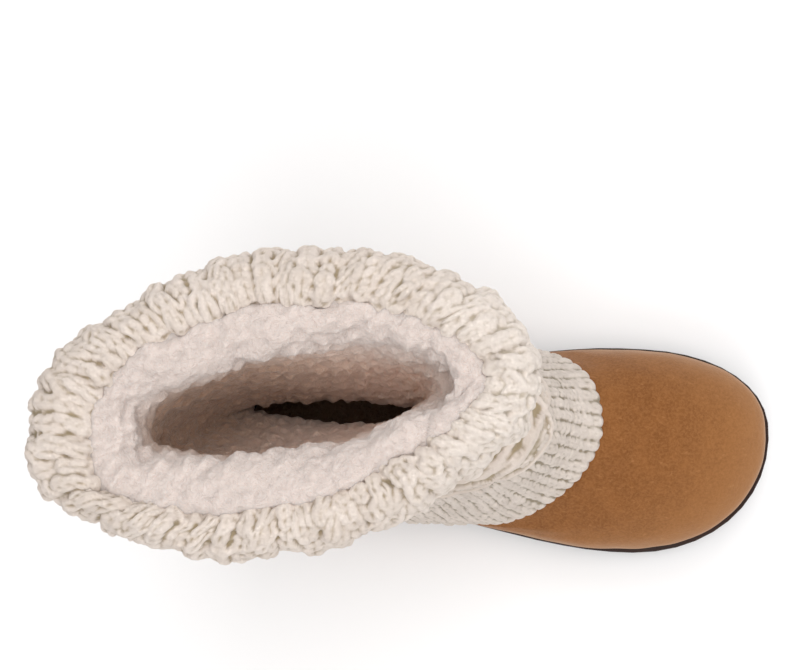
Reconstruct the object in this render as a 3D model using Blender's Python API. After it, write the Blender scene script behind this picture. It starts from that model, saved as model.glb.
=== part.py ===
"""A right slipper boot, standing empty on its sole.

Suede foot, cable-knit shaft with a turned-down cuff, fleece lining, footbed and rubber outsole.
Metres. +X points to the toe, +Y to the inner (big-toe) side, +Z up. The origin is on the floor
under the middle of the heel.
"""

import math

import bmesh
import bpy
import numpy as np

# Outsole
SOLE_LENGTH = 0.267
BALL_WIDTH = 0.1035
HEEL_REACH = 0.036  # back of the sole to the middle of the heel
HEEL_THICKNESS = 0.017
BALL_THICKNESS = 0.014
TOE_SPRING = 0.010
ARCH_RISE = 0.004
LIP_HEIGHT = 0.0035  # the raised rim round the top of the sole's side
LIP_ROUND = 0.0006  # how much the rim's upper edge is rounded
SIDE_SETBACK = 0.0014  # the side below the rim lies this far inside it
BOTTOM_ROUND = 0.0015  # how much the sole's lower edge is rounded
TREAD_PITCH = 0.009
TREAD_WIDTH = 0.0022
TREAD_DEPTH = 0.0015
TREAD_MARGIN = 0.011  # the grooves stop this far inside the sole's edge
TREAD_BOW = 0.006

# Walls
GAP = 0.0003
SUEDE_WALL = 0.002
KNIT_WALL = 0.0036
FLEECE_PILE = 0.0115
INSOLE_THICKNESS = 0.005
EDGE_MARGIN = 0.0015  # the sole's rim shows this wide round the suede
CORNER_MARGIN = 0.0016  # and this much wider at the outer toe corner
CORNER_BEARING = math.radians(-40)
FEATHER_TUCK = 0.0012  # the suede turns in this much where it meets the sole

# Heights above the floor
HEM_HEIGHT = 0.063  # the knit's front edge, on top of the foot
SHAFT_HEIGHT = 0.219

# Cuff
CUFF_DEPTH = 0.047
CUFF_THICKNESS = 0.010
CUFF_FLARE = 0.005  # how far the cuff stands off the shaft's own wall
CUFF_LEAN = 1.9  # the share that it stands off more behind
CUFF_SWAY = 0.35  # the share that it stands off more on the inner side, and less on the outer side
CUFF_TUCK = 0.0070  # how much closer it lies at the outer back corner
CUFF_TUCK_BEARING, CUFF_TUCK_SPREAD = math.radians(205), math.radians(22)
CROWN_RISE = 0.008

# Where each part of the sole's run starts and ends, as shares of the length from its back
HEEL_FLAT = (0.06, 0.24)
BALL_FLAT = (0.50, 0.76)
OUTLINE_WIDEST = 0.584

# Sole outline: share of the length, inner and outer half-width as shares of half the ball width
OUTLINE = (
    # along, inner, outer
    (0.00, 0.68, 0.68),
    (0.12, 0.68, 0.69),
    (0.25, 0.67, 0.71),
    (0.36, 0.70, 0.75),
    (0.47, 0.81, 0.84),
    (0.58, 0.91, 0.94),
    (0.69, 0.98, 1.00),
    (0.78, 0.99, 1.00),
    (1.00, 0.98, 1.00),
)
HEEL_ROUND = (0.135, 2.1)  # length of the round end as a share of the sole, and its fullness
TOE_ROUND_INNER = (0.245, 2.3)
TOE_ROUND_OUTER = (0.262, 2.1)
TOE_TIP = 0.18  # the tip lies this share of the half-width to the inner side

# Rings of the foot between sole and hem: how far in and how far up, as shares of the way
FOOT_RINGS = (
    # inwards, upwards
    (0.00, 0.26),
    (0.13, 0.55),
    (0.42, 0.78),
)

# Rings from the hem up. Each is a closed curve about its own centre with its own fullness (the curve's
# exponent) in each quarter. Lengths are shares of the sole's length and widths are shares of half the
# ball width. Heights are shares of HEM_HEIGHT for the hem, and of the rise from the hem to the shaft's
# top for the others.
RING_COLUMNS = (
    "name", "along", "across", "turn", "front", "back", "inner", "outer",
    "full_front_inner", "full_front_outer", "full_back_inner", "full_back_outer",
    "back_height", "side_height", "front_height",
)
RINGS = (
    ("hem", 0.491, 0.095, 4.0, 0.199, 0.465, 0.730, 0.860, 2.7, 1.7, 2.7, 2.6, 0.72, 0.60, 1.02),
    ("instep", 0.371, 0.080, 5.5, 0.230, 0.350, 0.680, 0.660, 2.3, 2.0, 2.4, 2.4, 0.09, 0.06, 0.16),
    ("ankle", 0.232, 0.115, 8.0, 0.222, 0.208, 0.480, 0.460, 2.2, 2.1, 2.2, 2.2, 0.30, 0.28, 0.36),
    ("calf", 0.217, 0.060, 12.0, 0.252, 0.236, 0.600, 0.570, 2.1, 1.9, 2.2, 2.2, 0.59, 0.58, 0.62),
    ("collar", 0.210, 0.000, 14.5, 0.298, 0.272, 0.800, 0.670, 1.9, 1.65, 2.2, 2.05, 0.86, 0.86, 0.87),
    ("top", 0.212, -0.020, 14.5, 0.317, 0.284, 0.870, 0.675, 1.8, 1.60, 2.25, 2.05, 0.99, 1.00, 1.00),
)
# Steps from each ring to the next: sole edge, three foot rings, hem, instep, ankle, calf, collar, top
STEPS = (1, 2, 2, 3, 3, 3, 3, 2, 2)
HEM_STATION = sum(STEPS[:4])
UNDERLAP_STATIONS = 1  # the suede runs this far up inside the knit
TURNS = 56  # points round each ring

# Fleece: pile at each ring, as shares of FLEECE_PILE, and the share of it that each end gets
PILE = {"hem": 0.4, "instep": 0.5, "ankle": 1.45, "calf": 1.45, "collar": 1.55, "top": 1.6}
PILE_FRONT = 0.85
PILE_BACK = 0.70
# Fleece rolled into the mouth: share of the pile in from the knit, and height above the shaft's top
MOUTH_ROLL = (
    # share, height
    (0.20, 0.0030),
    (0.55, 0.0040),
    (0.88, -0.0020),
)
# The cuff's section over the crown and down its outside. Reaches are shares of its outside reach, rises
# are shares of the crown's rise above the shaft's top.
CUFF_CROWN = (
    # reach, rise
    (0.35, 1.00),
    (0.72, 0.55),
    (0.97, -0.62),
)
CUFF_EDGE = 0.86  # the lower edge's reach as a share of the outside reach
# The lower edge, turned in to the shaft: shares of the cuff's thickness
CUFF_HEM = (
    # inwards, down
    (0.00, 0.00),
    (0.45, 0.30),
    (0.90, 0.00),
)
FOOTBED_SIDE = 0.7  # share of the footbed's thickness below its rounded edge

SUEDE = (0.314, 0.127, 0.045)
KNIT = (0.767, 0.680, 0.578)
FLEECE = (0.760, 0.665, 0.617)
RUBBER = (0.042, 0.021, 0.018)

HALF_BALL = BALL_WIDTH / 2
BEARINGS = np.arange(TURNS) * 2 * math.pi / TURNS  # 0 is the toe, a quarter turn the inner side


def along(share):
    """X of a share of the sole's length, counted from its back."""
    return share * SOLE_LENGTH - HEEL_REACH


def hermite(knots, values, at):
    """A smooth curve through values at the knots, read at the places in at."""
    knots = np.asarray(knots, float)
    values = np.asarray(values, float)
    slopes = np.gradient(values, knots, axis=0)
    at = np.clip(np.asarray(at, float), knots[0], knots[-1])
    i = np.clip(np.searchsorted(knots, at, side="right") - 1, 0, len(knots) - 2)
    span = knots[i + 1] - knots[i]
    t = (at - knots[i]) / span
    if values.ndim > 1:
        shape = (-1,) + (1,) * (values.ndim - 1)
        t, span = t.reshape(shape), span.reshape(shape)
    start = (1 + 2 * t) * (1 - t) ** 2 * values[i] + t * (1 - t) ** 2 * span * slopes[i]
    end = t * t * (3 - 2 * t) * values[i + 1] + t * t * (t - 1) * span * slopes[i + 1]
    return start + end


def ease(t):
    t = np.clip(t, 0, 1)
    return t * t * (3 - 2 * t)


def round_end(distance, length, fullness):
    """How wide a rounded end is at a distance from its tip, as a share of the full width."""
    left = np.clip(1 - distance / length, 0, 1)
    return (1 - left**fullness) ** (1 / fullness)


def sole_bottom(x):
    """Height of the sole's underside: flat under heel and ball, hollow at the arch, sprung at the toe."""
    share = (np.asarray(x, float) + HEEL_REACH) / SOLE_LENGTH
    middle = (share - HEEL_FLAT[1]) / (BALL_FLAT[0] - HEEL_FLAT[1])
    arch = ARCH_RISE * np.sin(math.pi * np.clip(middle, 0, 1)) ** 2
    spring = np.clip((share - BALL_FLAT[1]) / (1 - BALL_FLAT[1]), 0, 1)
    heel = np.clip(1 - share / HEEL_FLAT[0], 0, 1)
    return arch + TOE_SPRING * spring**1.8 + ARCH_RISE / 2 * heel**2


def sole_top(x):
    """Height of the sole's upper face, where the suede and the footbed stand."""
    share = (np.asarray(x, float) + HEEL_REACH) / SOLE_LENGTH
    thickness = HEEL_THICKNESS + (BALL_THICKNESS - HEEL_THICKNESS) * ease(
        (share - HEEL_FLAT[1]) / (BALL_FLAT[0] - HEEL_FLAT[1])
    )
    spring = np.clip((share - BALL_FLAT[1]) / (1 - BALL_FLAT[1]), 0, 1)
    return thickness + TOE_SPRING * spring**1.8


def outline():
    """The sole's outer edge in plan, one point for each bearing."""
    table = np.array(OUTLINE)
    forward = np.cos(BEARINGS)
    front, widest, back = along(1), along(OUTLINE_WIDEST), along(0)
    x = widest + np.where(forward > 0, (front - widest) * forward, (widest - back) * forward)
    share = (x + HEEL_REACH) / SOLE_LENGTH
    inner = hermite(table[:, 0], table[:, 1] * HALF_BALL, share)
    outer = hermite(table[:, 0], table[:, 2] * HALF_BALL, share)
    tip = TOE_TIP * HALF_BALL
    heel = round_end(share, *HEEL_ROUND)
    inner_y = tip + (inner - tip) * round_end(1 - share, *TOE_ROUND_INNER)
    outer_y = tip - (outer + tip) * round_end(1 - share, *TOE_ROUND_OUTER)
    behind = forward < 0
    inner_y = np.where(behind, inner * heel, inner_y)
    outer_y = np.where(behind, -outer * heel, outer_y)
    return np.column_stack([x, np.where(np.sin(BEARINGS) >= 0, inner_y, outer_y)])


def plan_normals(ring):
    """Outward directions in plan at each point of a closed ring."""
    ahead = np.roll(ring[:, :2], -1, axis=0) - np.roll(ring[:, :2], 1, axis=0)
    normals = np.column_stack([ahead[:, 1], -ahead[:, 0]])
    return normals / np.linalg.norm(normals, axis=1)[:, None]


def moved(ring, outwards, height=None):
    """The ring moved outwards in plan, and to a new height if one is given."""
    flat = ring[:, :2] + plan_normals(ring) * np.reshape(outwards, (-1, 1))
    z = ring[:, 2] if height is None else np.broadcast_to(height, len(ring))
    return np.column_stack([flat, z])


def raised_ring(row, pile_share=0.0):
    """A ring of the shaft from its row: a closed curve with its own fullness in each quarter. A share of
    the fleece's pile draws it in on every side.
    """
    row = dict(zip(RING_COLUMNS, row, strict=True))
    pile = PILE[row["name"]] * FLEECE_PILE * pile_share
    forward, across = np.cos(BEARINGS), np.sin(BEARINGS)
    ahead, inner_side = forward > 0, across >= 0
    front_full = np.where(inner_side, row["full_front_inner"], row["full_front_outer"])
    back_full = np.where(inner_side, row["full_back_inner"], row["full_back_outer"])
    power = 2 / np.where(ahead, front_full, back_full)
    front = row["front"] * SOLE_LENGTH - pile * PILE_FRONT
    back = row["back"] * SOLE_LENGTH - pile * PILE_BACK
    half = np.where(inner_side, row["inner"], row["outer"]) * HALF_BALL - pile
    x = np.where(ahead, front, back) * np.sign(forward) * np.abs(forward) ** power
    y = half * np.sign(across) * np.abs(across) ** power
    turn = math.radians(row["turn"])
    flat_x = along(row["along"]) + x * math.cos(turn) - y * math.sin(turn)
    flat_y = row["across"] * HALF_BALL + x * math.sin(turn) + y * math.cos(turn)
    low, side, high = (row[k + "_height"] for k in ("back", "side", "front"))
    share = side + (high - side) * np.clip(forward, 0, 1) ** 1.6 + (low - side) * np.clip(-forward, 0, 1) ** 2
    if row["name"] == "hem":
        z = HEM_HEIGHT * share
    else:
        z = HEM_HEIGHT + (SHAFT_HEIGHT - HEM_HEIGHT) * share
    return np.column_stack([flat_x, flat_y, z])


def master_rings():
    """The boot's own surface as rings: the suede's outer face, then the knit's inner face."""
    corner = ((1 + np.cos(BEARINGS - CORNER_BEARING)) / 2) ** 3
    edge = np.column_stack([outline(), np.zeros(TURNS)])
    edge = moved(edge, -(EDGE_MARGIN + CORNER_MARGIN * corner))
    edge[:, 2] = sole_top(edge[:, 0]) + GAP
    hem = raised_ring(RINGS[0])
    rings = [moved(edge, -FEATHER_TUCK)]
    for inwards, upwards in FOOT_RINGS:
        ring = edge + (hem - edge) * inwards
        ring[:, 2] = edge[:, 2] + (hem[:, 2] - edge[:, 2]) * upwards
        rings.append(ring)
    rings.append(hem)
    rings += [raised_ring(row) for row in RINGS[1:]]
    return np.array(rings)


def master_grid():
    """The rings filled in with smooth ones between them: stations from the sole's edge to the top."""
    rings = master_rings()
    lengths = np.linalg.norm(np.diff(rings, axis=0), axis=2).mean(1)
    knots = np.concatenate([[0], np.cumsum(lengths)])
    at = [knots[0]]
    for i, steps in enumerate(STEPS):
        at += list(knots[i] + (knots[i + 1] - knots[i]) * (np.arange(steps) + 1) / steps)
    return hermite(knots, rings, at)


def grid_normals(grid):
    """Outward normals of the grid."""
    round_ring = np.roll(grid, -1, axis=1) - np.roll(grid, 1, axis=1)
    up = np.gradient(grid, axis=0)
    normals = np.cross(round_ring, up)
    return normals / np.linalg.norm(normals, axis=2)[:, :, None]


GRID = master_grid()
NORMALS = grid_normals(GRID)
STATION = dict(zip([row[0] for row in RINGS], np.cumsum(STEPS)[3:], strict=True))


def surface(station, outwards):
    """The boot's surface at a station, moved out by a distance."""
    return GRID[station] + NORMALS[station] * outwards


def material(name, colour, roughness):
    made = bpy.data.materials.new(name)
    made.use_nodes = True
    shader = made.node_tree.nodes["Principled BSDF"]
    shader.inputs["Base Color"].default_value = (*colour, 1)
    shader.inputs["Roughness"].default_value = roughness
    shader.inputs["Metallic"].default_value = 0.0
    return made


def add_object(name, points, faces, finish):
    """A mesh object with its faces pointing out."""
    mesh = bpy.data.meshes.new(name)
    mesh.from_pydata([tuple(p) for p in points], [], faces)
    shape = bmesh.new()
    shape.from_mesh(mesh)
    bmesh.ops.remove_doubles(shape, verts=shape.verts, dist=1e-6)
    bmesh.ops.recalc_face_normals(shape, faces=shape.faces)
    shape.to_mesh(mesh)
    shape.free()
    mesh.shade_smooth()
    mesh.set_sharp_from_angle(angle=math.radians(40))
    mesh.materials.append(finish)
    made = bpy.data.objects.new(name, mesh)
    bpy.context.scene.collection.objects.link(made)
    return made


def skin(first, second):
    """Triangles between two rings, given as the numbers of their first points."""
    faces = []
    for i in range(TURNS):
        j = (i + 1) % TURNS
        faces.append((first + i, first + j, second + j))
        faces.append((first + i, second + j, second + i))
    return faces


def add_band(name, rings, finish):
    """A hollow solid: its wall's section, given ring by ring, swept round the boot."""
    faces = []
    for k in range(len(rings)):
        after = (k + 1) % len(rings)
        # The same diagonal on both faces of a wall keeps nested walls apart.
        faces += skin(k * TURNS, after * TURNS)
    return add_object(name, np.concatenate(rings), faces, finish)


def add_wall(name, stations, inside, outside, finish):
    """A wall that follows the boot's surface between two distances from it."""
    outer = [surface(s, outside) for s in stations]
    inner = [surface(s, inside) for s in reversed(stations)]
    return add_band(name, outer + inner, finish)


def ladder(first, flip):
    """Faces across a ring, from each inner-side point to the outer-side point at the same X."""
    faces = []
    half = TURNS // 2
    for i in range(half):
        a, b = first + i, first + i + 1
        c, d = first + (TURNS - i - 1) % TURNS, first + (TURNS - i) % TURNS
        ring = [a, b, c, d]
        corners = list(dict.fromkeys(ring))
        faces.append(tuple(reversed(corners)) if flip else tuple(corners))
    return faces


def add_plate(name, rings, finish):
    """A solid stacked from rings, closed across its lowest and highest ring."""
    faces = ladder(0, True) + ladder((len(rings) - 1) * TURNS, False)
    for k in range(len(rings) - 1):
        faces += skin(k * TURNS, (k + 1) * TURNS)
    return add_object(name, np.concatenate(rings), faces, finish)


def sole_ring(inset, rise_share, lift):
    """A ring of the sole's side: inset from its edge, at a share of its height plus a lift."""
    ring = moved(np.column_stack([outline(), np.zeros(TURNS)]), -inset)
    low, high = sole_bottom(ring[:, 0]), sole_top(ring[:, 0])
    ring[:, 2] = low + (high - low) * rise_share + lift
    return ring


def tread_bar(x_middle, half_width):
    """A bowed bar across the underside, as points and faces."""
    spans = 6
    points = []
    for k in range(spans + 1):
        y = half_width * (2 * k / spans - 1)
        bow = TREAD_BOW * (1 - (y / half_width) ** 2)
        for side, height in ((-1, -1), (1, -1), (1, 1), (-1, 1)):
            x = x_middle + bow + side * TREAD_WIDTH / 2
            floor = float(sole_bottom(x_middle + bow))
            points.append((x, y, floor + (TREAD_DEPTH if height > 0 else -TREAD_DEPTH)))
    faces = [(0, 1, 2, 3)]
    for k in range(spans):
        for c in range(4):
            n = (c + 1) % 4
            faces.append((4 * k + c, 4 * k + n, 4 * k + 4 + n, 4 * k + 4 + c))
    last = 4 * spans
    faces.append((last + 3, last + 2, last + 1, last))
    return points, faces


def add_tread(sole, finish):
    """Cuts bowed grooves into the underside, under the heel and under the ball and toe."""
    points, faces = [], []
    edge = outline()
    bow_room = TREAD_BOW + TREAD_WIDTH
    heel_count = int((along(HEEL_FLAT[1]) - bow_room) / TREAD_PITCH + 0.5)
    heel_back = int((HEEL_REACH - TREAD_MARGIN) / TREAD_PITCH + 0.5)
    places = [TREAD_PITCH * (k + 0.5) - TREAD_BOW for k in range(-heel_back, heel_count)]
    ball_start = along(BALL_FLAT[0])
    ball_end = along(1) - TREAD_MARGIN - bow_room
    places += [ball_start + TREAD_PITCH * k for k in range(int((ball_end - ball_start) / TREAD_PITCH))]
    for x in places:
        inner_y = np.interp(x, edge[TURNS // 2::-1, 0], edge[TURNS // 2::-1, 1])
        outer = edge[TURNS // 2:]
        outer_y = -np.interp(x, outer[:, 0], outer[:, 1])
        half_width = min(inner_y, outer_y) - TREAD_MARGIN
        if half_width > TREAD_MARGIN:
            bar_points, bar_faces = tread_bar(x, half_width)
            faces += [tuple(i + len(points) for i in face) for face in bar_faces]
            points += bar_points
    cutter = add_object("tread_cutter", points, faces, finish)
    cutter.hide_render = True
    cutter.display_type = "WIRE"
    cut = sole.modifiers.new("tread", "BOOLEAN")
    cut.operation = "DIFFERENCE"
    cut.solver = "EXACT"
    cut.object = cutter


def add_outsole(finish):
    side_low = SIDE_SETBACK * 2
    rings = [
        sole_ring(side_low + BOTTOM_ROUND, 0, 0),
        sole_ring(side_low, 0, BOTTOM_ROUND),
        sole_ring(SIDE_SETBACK, 0.35, 0),
        sole_ring(SIDE_SETBACK, 1, -LIP_HEIGHT),
        sole_ring(0, 1, -LIP_HEIGHT + LIP_ROUND),
        sole_ring(0, 1, -LIP_ROUND),
        sole_ring(LIP_ROUND, 1, 0),
    ]
    sole = add_plate("outsole", rings, finish)
    add_tread(sole, finish)


def add_insole(finish):
    inset = EDGE_MARGIN + CORNER_MARGIN + FEATHER_TUCK + SUEDE_WALL + GAP
    low = sole_ring(inset, 1, GAP)
    rings = [low, sole_ring(inset, 1, GAP + INSOLE_THICKNESS * FOOTBED_SIDE)]
    rounding = INSOLE_THICKNESS * (1 - FOOTBED_SIDE)
    rings.append(sole_ring(inset + rounding, 1, GAP + INSOLE_THICKNESS))
    add_plate("insole", rings, finish)


def add_upper(finish):
    stations = range(HEM_STATION + UNDERLAP_STATIONS + 1)
    outer = [surface(s, 0) for s in stations]
    inner = [surface(s, -SUEDE_WALL) for s in reversed(stations)]
    for ring in (outer[0], inner[-1]):
        ring[:, 2] = sole_top(ring[:, 0]) + GAP
    add_band("upper", outer + inner, finish)


def add_shaft(finish):
    stations = list(range(HEM_STATION, STATION["top"] + 1))
    add_wall("shaft", stations, GAP, GAP + KNIT_WALL, finish)


def add_lining(finish):
    start = HEM_STATION + UNDERLAP_STATIONS + 1
    stations = np.arange(start, STATION["collar"] + 1)
    outer = [surface(s, -GAP) for s in range(start, STATION["top"] + 1)]
    inner = hermite(list(STATION.values()), [raised_ring(row, 1.0) for row in RINGS], stations)
    roll = []
    for share, rise in MOUTH_ROLL:
        ring = raised_ring(RINGS[-1], share)
        ring[:, 2] += rise
        roll.append(ring)
    add_band("lining", outer + roll + list(inner[::-1]), finish)


def cuff_rings():
    """The cuff's section: up the inside, over the crown and down outside the shaft's wall."""
    top = GRID[STATION["top"]]
    clear = GAP + KNIT_WALL + GAP
    behind = np.clip(-np.cos(BEARINGS), 0, 1) ** 6
    flare = CUFF_FLARE * (1 + CUFF_LEAN * behind + CUFF_SWAY * np.sin(BEARINGS))
    flare = flare - CUFF_TUCK * np.exp(-(((BEARINGS - CUFF_TUCK_BEARING) / CUFF_TUCK_SPREAD) ** 2))
    outside = clear + flare + CUFF_THICKNESS
    hem_drop = CUFF_DEPTH - CROWN_RISE

    def shaft_ring(drop):
        """The shaft's surface at a drop below its top."""
        heights = GRID[:, :, 2]
        ring = np.empty_like(top)
        for i in range(TURNS):
            z = top[i, 2] - drop
            for axis in range(3):
                column = GRID[STATION["ankle"]:, i, axis]
                ring[i, axis] = np.interp(z, heights[STATION["ankle"]:, i], column)
        return ring

    low = shaft_ring(hem_drop)
    middle = shaft_ring(hem_drop / 2)
    rings = [
        moved(top, clear, top[:, 2] - CUFF_THICKNESS / 2),
        moved(top, clear, top[:, 2] + GAP),
        moved(top, -GAP, top[:, 2] + GAP),
        moved(top, GAP, top[:, 2] + CROWN_RISE * 0.6),
    ]
    for reach, rise in CUFF_CROWN:
        rings.append(moved(top, outside * reach, np.maximum(top[:, 2], SHAFT_HEIGHT) + CROWN_RISE * rise))
    rings.append(moved(middle, outside + flare * 0.3))
    for inwards, down in CUFF_HEM:
        reach = outside * CUFF_EDGE - CUFF_THICKNESS * inwards
        rings.append(moved(low, reach, low[:, 2] - CUFF_THICKNESS * down))
    rings.append(moved(middle, clear + flare * 0.5))
    return rings


def add_cuff(finish):
    add_band("cuff", cuff_rings(), finish)


def main():
    for old in list(bpy.data.objects):
        bpy.data.objects.remove(old)
    suede = material("suede", SUEDE, 0.9)
    knit = material("knit", KNIT, 0.95)
    fleece = material("fleece", FLEECE, 1.0)
    rubber = material("rubber", RUBBER, 0.6)
    add_outsole(rubber)
    add_insole(fleece)
    add_upper(suede)
    add_shaft(knit)
    add_lining(fleece)
    add_cuff(knit)


main()
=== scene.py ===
# %% [markdown]
# # A knitted slipper boot
# This boot is a suede foot on a rubber sole, with a chunky knitted shaft, a cuff turned over its
# top and a fleece lining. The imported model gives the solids. Here each soft one is made again with
# the detail that the real one has: stitches of yarn, pile and nap.

# %% Load the frame
import math

import bpy
import numpy as np
from mathutils import Matrix, Vector


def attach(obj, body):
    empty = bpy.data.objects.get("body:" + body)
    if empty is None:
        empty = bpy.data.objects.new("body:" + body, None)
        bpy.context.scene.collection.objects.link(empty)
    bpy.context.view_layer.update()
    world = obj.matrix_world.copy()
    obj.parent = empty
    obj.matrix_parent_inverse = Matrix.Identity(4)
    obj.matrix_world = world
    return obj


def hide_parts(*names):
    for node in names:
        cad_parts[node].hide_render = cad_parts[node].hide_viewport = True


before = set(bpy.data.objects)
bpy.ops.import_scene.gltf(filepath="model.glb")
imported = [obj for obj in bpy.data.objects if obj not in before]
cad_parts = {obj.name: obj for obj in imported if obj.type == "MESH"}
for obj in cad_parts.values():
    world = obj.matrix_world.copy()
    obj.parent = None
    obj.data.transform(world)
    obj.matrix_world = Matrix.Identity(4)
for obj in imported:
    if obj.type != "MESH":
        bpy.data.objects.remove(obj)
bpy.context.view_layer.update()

# %% [markdown]
# ## The boot's own shape
# A shoe is drawn round a last. The source does the same with a few closed curves, from the sole's
# edge up to the shaft's top. The same curves are repeated here with many more points, so that every
# soft piece lies exactly where its solid lies.

# %% Sizes, as in the part's source
SOLE_LENGTH = 0.267
BALL_WIDTH = 0.1035
HEEL_REACH = 0.036
HEEL_THICKNESS = 0.017
BALL_THICKNESS = 0.014
TOE_SPRING = 0.010
GAP = 0.0003
SUEDE_WALL = 0.002
KNIT_WALL = 0.0036
FLEECE_PILE = 0.0115
INSOLE_THICKNESS = 0.005
EDGE_MARGIN = 0.0015
CORNER_MARGIN = 0.0016
CORNER_BEARING = math.radians(-40)
FEATHER_TUCK = 0.0012
HEM_HEIGHT = 0.063
SHAFT_HEIGHT = 0.219
CUFF_DEPTH = 0.047
CUFF_THICKNESS = 0.010
CUFF_FLARE = 0.005
CUFF_LEAN = 1.9
CUFF_SWAY = 0.35
CUFF_TUCK = 0.0070
CUFF_TUCK_BEARING, CUFF_TUCK_SPREAD = math.radians(205), math.radians(22)
CROWN_RISE = 0.008
HEEL_FLAT = (0.06, 0.24)
BALL_FLAT = (0.50, 0.76)
OUTLINE_WIDEST = 0.584
HEEL_ROUND = (0.135, 2.1)
TOE_ROUND_INNER = (0.245, 2.3)
TOE_ROUND_OUTER = (0.262, 2.1)
TOE_TIP = 0.18
HALF_BALL = BALL_WIDTH / 2
SPRING_CURVE = 1.8  # how late the sole curves up to the toe
RISE_AHEAD, RISE_BEHIND = 1.6, 2  # how late a ring of the shaft climbs to its front and its back
TURNS = 360  # points round each curve

# %% The source's tables
OUTLINE = (
    # along, inner, outer
    (0.00, 0.68, 0.68),
    (0.12, 0.68, 0.69),
    (0.25, 0.67, 0.71),
    (0.36, 0.70, 0.75),
    (0.47, 0.81, 0.84),
    (0.58, 0.91, 0.94),
    (0.69, 0.98, 1.00),
    (0.78, 0.99, 1.00),
    (1.00, 0.98, 1.00),
)
FOOT_RINGS = ((0.00, 0.26), (0.13, 0.55), (0.42, 0.78))
RING_COLUMNS = (
    "name", "along", "across", "turn", "front", "back", "inner", "outer",
    "full_front_inner", "full_front_outer", "full_back_inner", "full_back_outer",
    "back_height", "side_height", "front_height",
)
RINGS = (
    ("hem", 0.491, 0.095, 4.0, 0.199, 0.465, 0.730, 0.860, 2.7, 1.7, 2.7, 2.6, 0.72, 0.60, 1.02),
    ("instep", 0.371, 0.080, 5.5, 0.230, 0.350, 0.680, 0.660, 2.3, 2.0, 2.4, 2.4, 0.09, 0.06, 0.16),
    ("ankle", 0.232, 0.115, 8.0, 0.222, 0.208, 0.480, 0.460, 2.2, 2.1, 2.2, 2.2, 0.30, 0.28, 0.36),
    ("calf", 0.217, 0.060, 12.0, 0.252, 0.236, 0.600, 0.570, 2.1, 1.9, 2.2, 2.2, 0.59, 0.58, 0.62),
    ("collar", 0.210, 0.0, 14.5, 0.298, 0.272, 0.80, 0.670, 1.9, 1.65, 2.2, 2.05, 0.86, 0.86, 0.87),
    ("top", 0.212, -0.02, 14.5, 0.317, 0.284, 0.87, 0.675, 1.8, 1.6, 2.25, 2.05, 0.99, 1.0, 1.0),
)
PILE = {"hem": 0.4, "instep": 0.5, "ankle": 1.45, "calf": 1.45, "collar": 1.55, "top": 1.6}
PILE_FRONT, PILE_BACK = 0.85, 0.70
CUFF_CROWN = ((0.35, 1.00), (0.72, 0.55), (0.97, -0.62))
CUFF_EDGE = 0.86
CUFF_HEM = ((0.00, 0.00), (0.45, 0.30), (0.90, 0.00))
BEARINGS = np.arange(TURNS) * 2 * math.pi / TURNS

# %% [markdown]
# A curve through a few knots needs a smooth rule between them. Hermite's uses the slope at each
# knot, so rings that are far apart blend with no kink.

# %% Curves between knots
def along(share):
    """X of a share of the sole's length, counted from its back."""
    return share * SOLE_LENGTH - HEEL_REACH


def hermite(knots, values, at):
    """A smooth curve through values at the knots, read at the places in at."""
    knots, values = np.asarray(knots, float), np.asarray(values, float)
    slopes = np.gradient(values, knots, axis=0)
    at = np.clip(np.asarray(at, float), knots[0], knots[-1])
    i = np.clip(np.searchsorted(knots, at, side="right") - 1, 0, len(knots) - 2)
    span = knots[i + 1] - knots[i]
    t = (at - knots[i]) / span
    shape = (-1,) + (1,) * (values.ndim - 1)
    t, span = t.reshape(shape), span.reshape(shape)
    start = (1 + 2 * t) * (1 - t) ** 2 * values[i] + t * (1 - t) ** 2 * span * slopes[i]
    end = t * t * (3 - 2 * t) * values[i + 1] + t * t * (t - 1) * span * slopes[i + 1]
    return start + end


def ease(t):
    """A smooth step from 0 to 1."""
    t = np.clip(t, 0, 1)
    return t * t * (3 - 2 * t)


def near_bearing(bearing, spread):
    """1 at a bearing, and less and less to both sides of it, for each point of a ring."""
    return np.exp(-(((BEARINGS - bearing) / spread) ** 2))


# %% The sole's outline and its upper face
def sole_top(x):
    """Height of the sole's upper face."""
    share = (np.asarray(x, float) + HEEL_REACH) / SOLE_LENGTH
    thinner = ease((share - HEEL_FLAT[1]) / (BALL_FLAT[0] - HEEL_FLAT[1]))
    spring = np.clip((share - BALL_FLAT[1]) / (1 - BALL_FLAT[1]), 0, 1)
    thickness = HEEL_THICKNESS + (BALL_THICKNESS - HEEL_THICKNESS) * thinner
    return thickness + TOE_SPRING * spring**SPRING_CURVE


def round_end(distance, length, fullness):
    """How wide a rounded end is at a distance from its tip, as a share of the full width."""
    left = np.clip(1 - distance / length, 0, 1)
    return (1 - left**fullness) ** (1 / fullness)


def outline():
    """The sole's outer edge in plan, one point for each bearing."""
    table = np.array(OUTLINE)
    forward = np.cos(BEARINGS)
    front, widest, back = along(1), along(OUTLINE_WIDEST), along(0)
    x = widest + np.where(forward > 0, (front - widest) * forward, (widest - back) * forward)
    share = (x + HEEL_REACH) / SOLE_LENGTH
    inner = hermite(table[:, 0], table[:, 1] * HALF_BALL, share)
    outer = hermite(table[:, 0], table[:, 2] * HALF_BALL, share)
    tip, heel = TOE_TIP * HALF_BALL, round_end(share, *HEEL_ROUND)
    inner_toe = tip + (inner - tip) * round_end(1 - share, *TOE_ROUND_INNER)
    outer_toe = tip - (outer + tip) * round_end(1 - share, *TOE_ROUND_OUTER)
    inner_y = np.where(forward < 0, inner * heel, inner_toe)
    outer_y = np.where(forward < 0, -outer * heel, outer_toe)
    return np.column_stack([x, np.where(np.sin(BEARINGS) >= 0, inner_y, outer_y)])


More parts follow.
